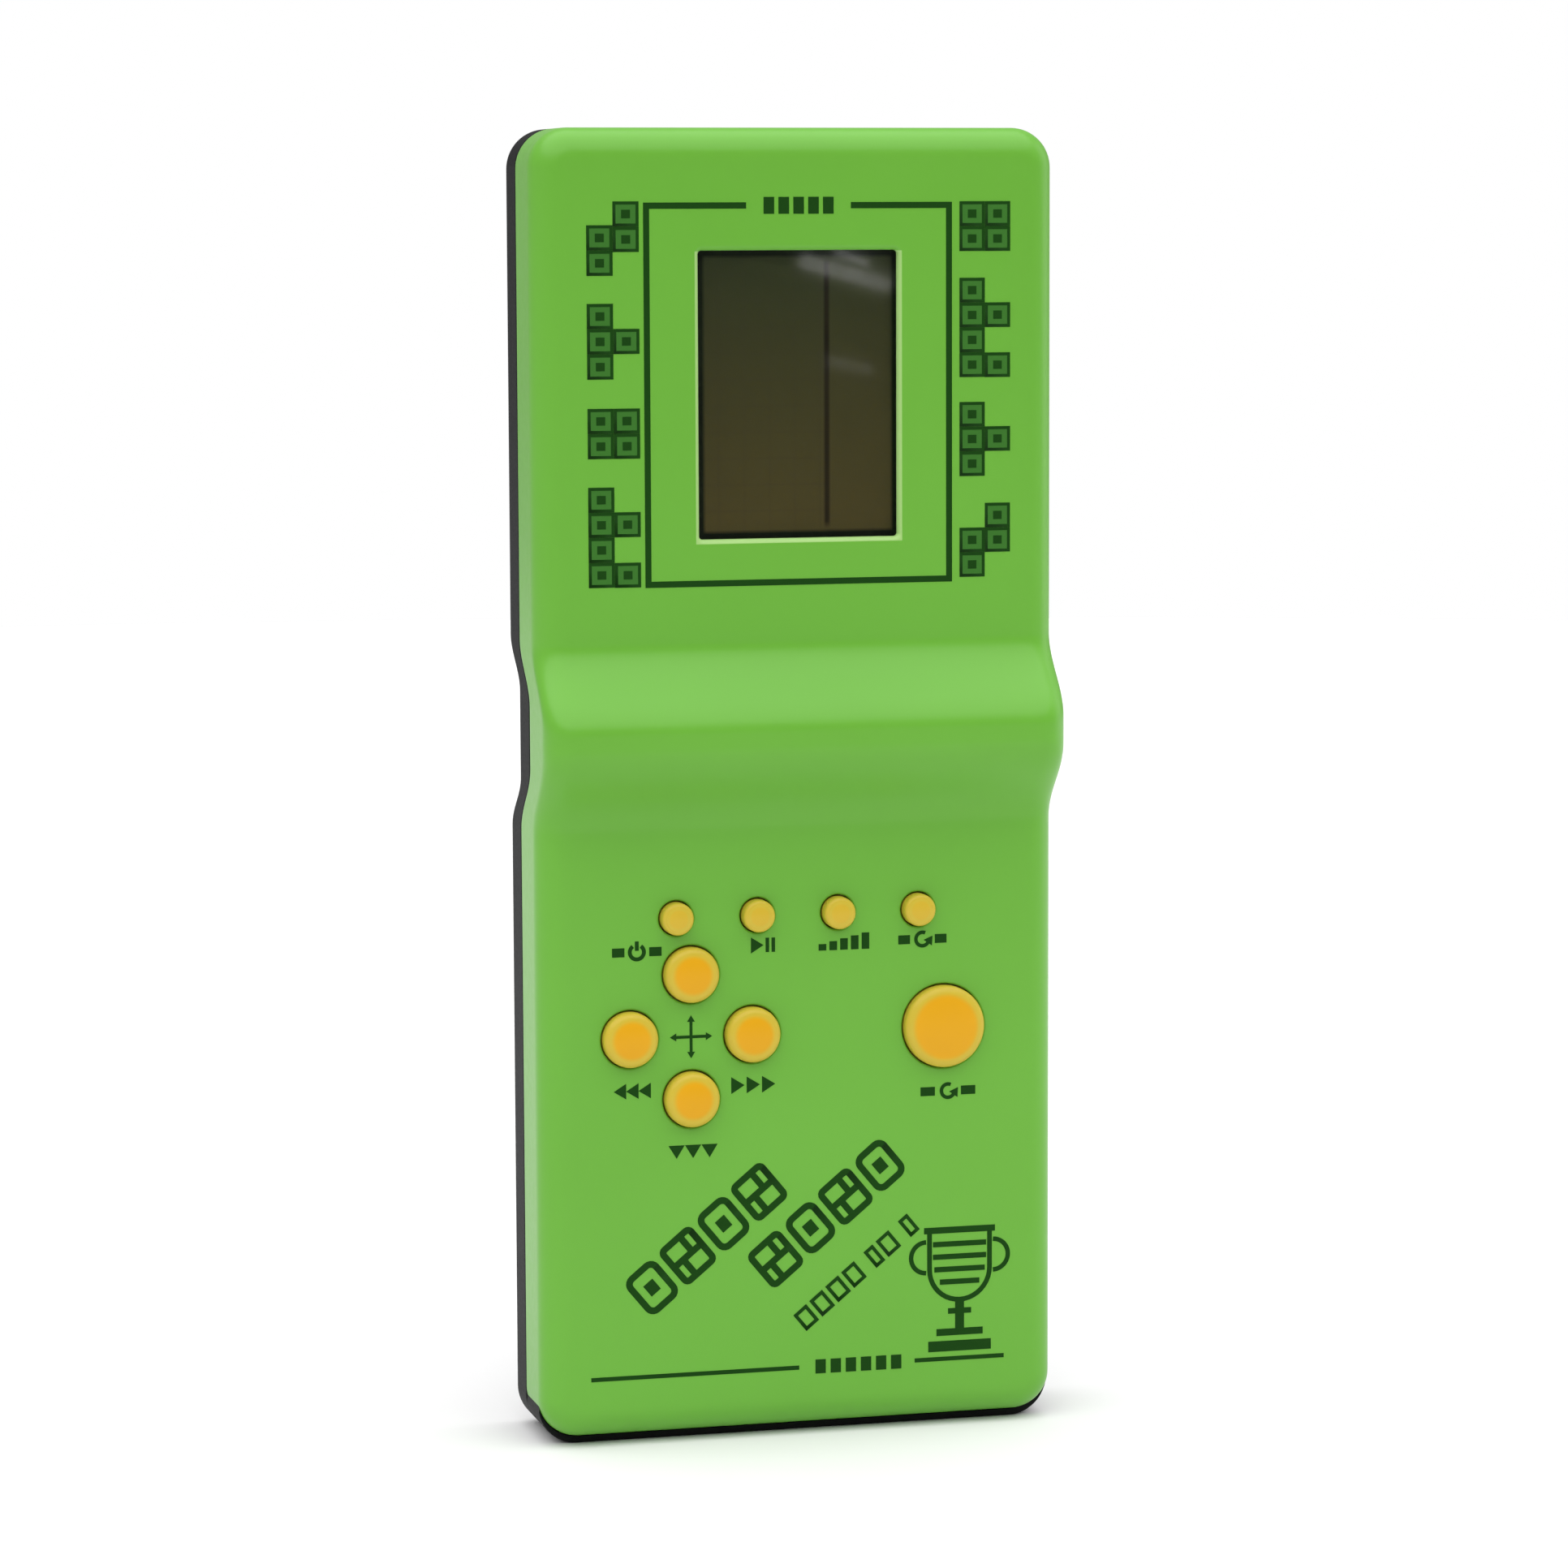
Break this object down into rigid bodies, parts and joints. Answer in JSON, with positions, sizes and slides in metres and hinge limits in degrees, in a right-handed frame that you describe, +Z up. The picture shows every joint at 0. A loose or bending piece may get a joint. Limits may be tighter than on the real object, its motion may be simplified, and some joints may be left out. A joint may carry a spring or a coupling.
{
  "type": "handheld lcd game",
  "caption": "Upright handheld block game with a green front shell, black rear shell, finger-grip wave, small LCD window and orange rubber-dome keys, run on AA cells.",
  "frame": {"origin": "middle of the base of the bounding box, where the upright game stands", "axes": "+X to the right of a player facing the window, +Y from the front into the case, +Z up from the battery end to the display end"},
  "size_m": [0.074, 0.027, 0.182],
  "materials": {
    "green_case": "satin",
    "black_case": "satin",
    "key_plastic": "satin",
    "window_plastic": "clear polished",
    "holder_plastic": "matt",
    "display_glass": "polished",
    "polariser_film": "satin",
    "reflector_film": "satin",
    "flex_film": "satin",
    "silicone": "matt",
    "carbon_rubber": "matt",
    "board_laminate": "satin",
    "gold_plate": "polished",
    "black_epoxy": "satin",
    "capacitor_sleeve": "satin",
    "ceramic_body": "matt",
    "resistor_body": "satin",
    "brass": "satin",
    "piezo_ceramic": "matt",
    "black_wire": "satin",
    "red_wire": "satin",
    "nickel_steel": "satin",
    "zinc_steel": "satin",
    "cell_jacket": "satin"
  },
  "bodies": {
    "case": {"front_shell": "green_case", "rear_shell": "black_case", "window_lens": "window_plastic", "display_holder": "holder_plastic", "front_polariser": "polariser_film", "display_front_glass": "display_glass", "display_rear_glass": "display_glass", "reflector": "reflector_film", "display_ribbon": "flex_film", "rubber_mat": "silicone", "circuit_board": "board_laminate", "key_contacts": "gold_plate", "controller_cap": "black_epoxy", "electrolytic_capacitor": "capacitor_sleeve", "ceramic_capacitors": "ceramic_body", "resistors": "resistor_body", "transistor": "black_epoxy", "sounder_disc": "brass", "sounder_ceramic": "piezo_ceramic", "sounder_wires": "black_wire", "battery_wire_positive": "red_wire", "battery_wire_negative": "black_wire", "bridge_contact": "nickel_steel", "positive_contact": "nickel_steel", "negative_contact": "nickel_steel", "contact_springs": "nickel_steel", "battery_lower": "cell_jacket", "battery_upper": "cell_jacket", "case_screws": "zinc_steel", "board_screws": "zinc_steel", "display_screws": "zinc_steel", "power_dome": "silicone", "pause_dome": "silicone", "sound_dome": "silicone", "reset_dome": "silicone", "right_dome": "silicone", "up_dome": "silicone", "left_dome": "silicone", "down_dome": "silicone", "rotate_dome": "silicone"},
    "battery_door": {"battery_door": "black_case"},
    "power_key": {"power_button": "key_plastic", "power_pill": "carbon_rubber"},
    "pause_key": {"pause_button": "key_plastic", "pause_pill": "carbon_rubber"},
    "sound_key": {"sound_button": "key_plastic", "sound_pill": "carbon_rubber"},
    "reset_key": {"reset_button": "key_plastic", "reset_pill": "carbon_rubber"},
    "right_key": {"right_button": "key_plastic", "right_pill": "carbon_rubber"},
    "up_key": {"up_button": "key_plastic", "up_pill": "carbon_rubber"},
    "left_key": {"left_button": "key_plastic", "left_pill": "carbon_rubber"},
    "down_key": {"down_button": "key_plastic", "down_pill": "carbon_rubber"},
    "rotate_key": {"rotate_button": "key_plastic", "rotate_pill": "carbon_rubber"}
  },
  "joints": [
    {"name": "battery_door_hinge", "type": "hinge", "parent": "case", "child": "battery_door", "pos_m": [0, 0.0123, 0.00675], "axis": [-1, 0, 0], "range_deg": [0, 85]},
    {"name": "power_press", "type": "slide", "parent": "case", "child": "power_key", "axis": [0, 1, 0], "range_m": [0, 0.0008], "stiffness_N_per_m": 250, "deforming": ["power_dome"]},
    {"name": "pause_press", "type": "slide", "parent": "case", "child": "pause_key", "axis": [0, 1, 0], "range_m": [0, 0.0008], "stiffness_N_per_m": 250, "deforming": ["pause_dome"]},
    {"name": "sound_press", "type": "slide", "parent": "case", "child": "sound_key", "axis": [0, 1, 0], "range_m": [0, 0.0008], "stiffness_N_per_m": 250, "deforming": ["sound_dome"]},
    {"name": "reset_press", "type": "slide", "parent": "case", "child": "reset_key", "axis": [0, 1, 0], "range_m": [0, 0.0008], "stiffness_N_per_m": 250, "deforming": ["reset_dome"]},
    {"name": "right_press", "type": "slide", "parent": "case", "child": "right_key", "axis": [0, 1, 0], "range_m": [0, 0.0008], "stiffness_N_per_m": 300, "deforming": ["right_dome"]},
    {"name": "up_press", "type": "slide", "parent": "case", "child": "up_key", "axis": [0, 1, 0], "range_m": [0, 0.0008], "stiffness_N_per_m": 300, "deforming": ["up_dome"]},
    {"name": "left_press", "type": "slide", "parent": "case", "child": "left_key", "axis": [0, 1, 0], "range_m": [0, 0.0008], "stiffness_N_per_m": 300, "deforming": ["left_dome"]},
    {"name": "down_press", "type": "slide", "parent": "case", "child": "down_key", "axis": [0, 1, 0], "range_m": [0, 0.0008], "stiffness_N_per_m": 300, "deforming": ["down_dome"]},
    {"name": "rotate_press", "type": "slide", "parent": "case", "child": "rotate_key", "axis": [0, 1, 0], "range_m": [0, 0.0008], "stiffness_N_per_m": 400, "deforming": ["rotate_dome"]}
  ]
}
